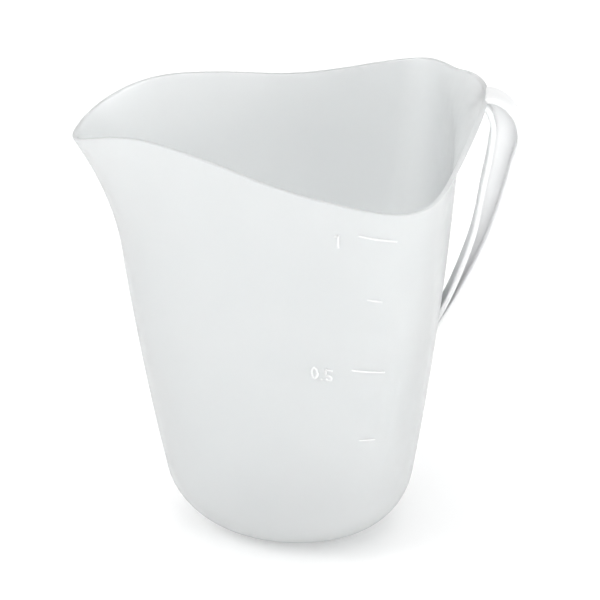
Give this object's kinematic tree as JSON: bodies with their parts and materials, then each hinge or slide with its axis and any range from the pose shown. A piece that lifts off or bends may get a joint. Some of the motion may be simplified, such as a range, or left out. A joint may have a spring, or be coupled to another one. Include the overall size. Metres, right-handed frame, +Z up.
{
  "type": "measuring jug",
  "caption": "Measuring jug of translucent natural plastic, with a flared pouring spout, a wavy rim and an open ribbed handle.",
  "frame": {"origin": "under the middle of the jug, on the plane of its standing ring", "axes": "+Z up; the spout points to -X and the handle is on +X, both in the plane Y = 0; the scale faces -Y"},
  "size_m": [0.1516, 0.1334, 0.1646],
  "materials": {
    "polypropylene": "satin"
  },
  "bodies": {
    "root": {"vessel": "polypropylene", "foot_ring": "polypropylene", "handle_outer_flange": "polypropylene", "handle_inner_flange": "polypropylene", "handle_web": "polypropylene", "line_1000_ml": "polypropylene", "line_750_ml": "polypropylene", "line_500_ml": "polypropylene", "line_250_ml": "polypropylene", "numeral_1_litre": "polypropylene", "numeral_half_litre": "polypropylene"}
  },
  "joints": []
}
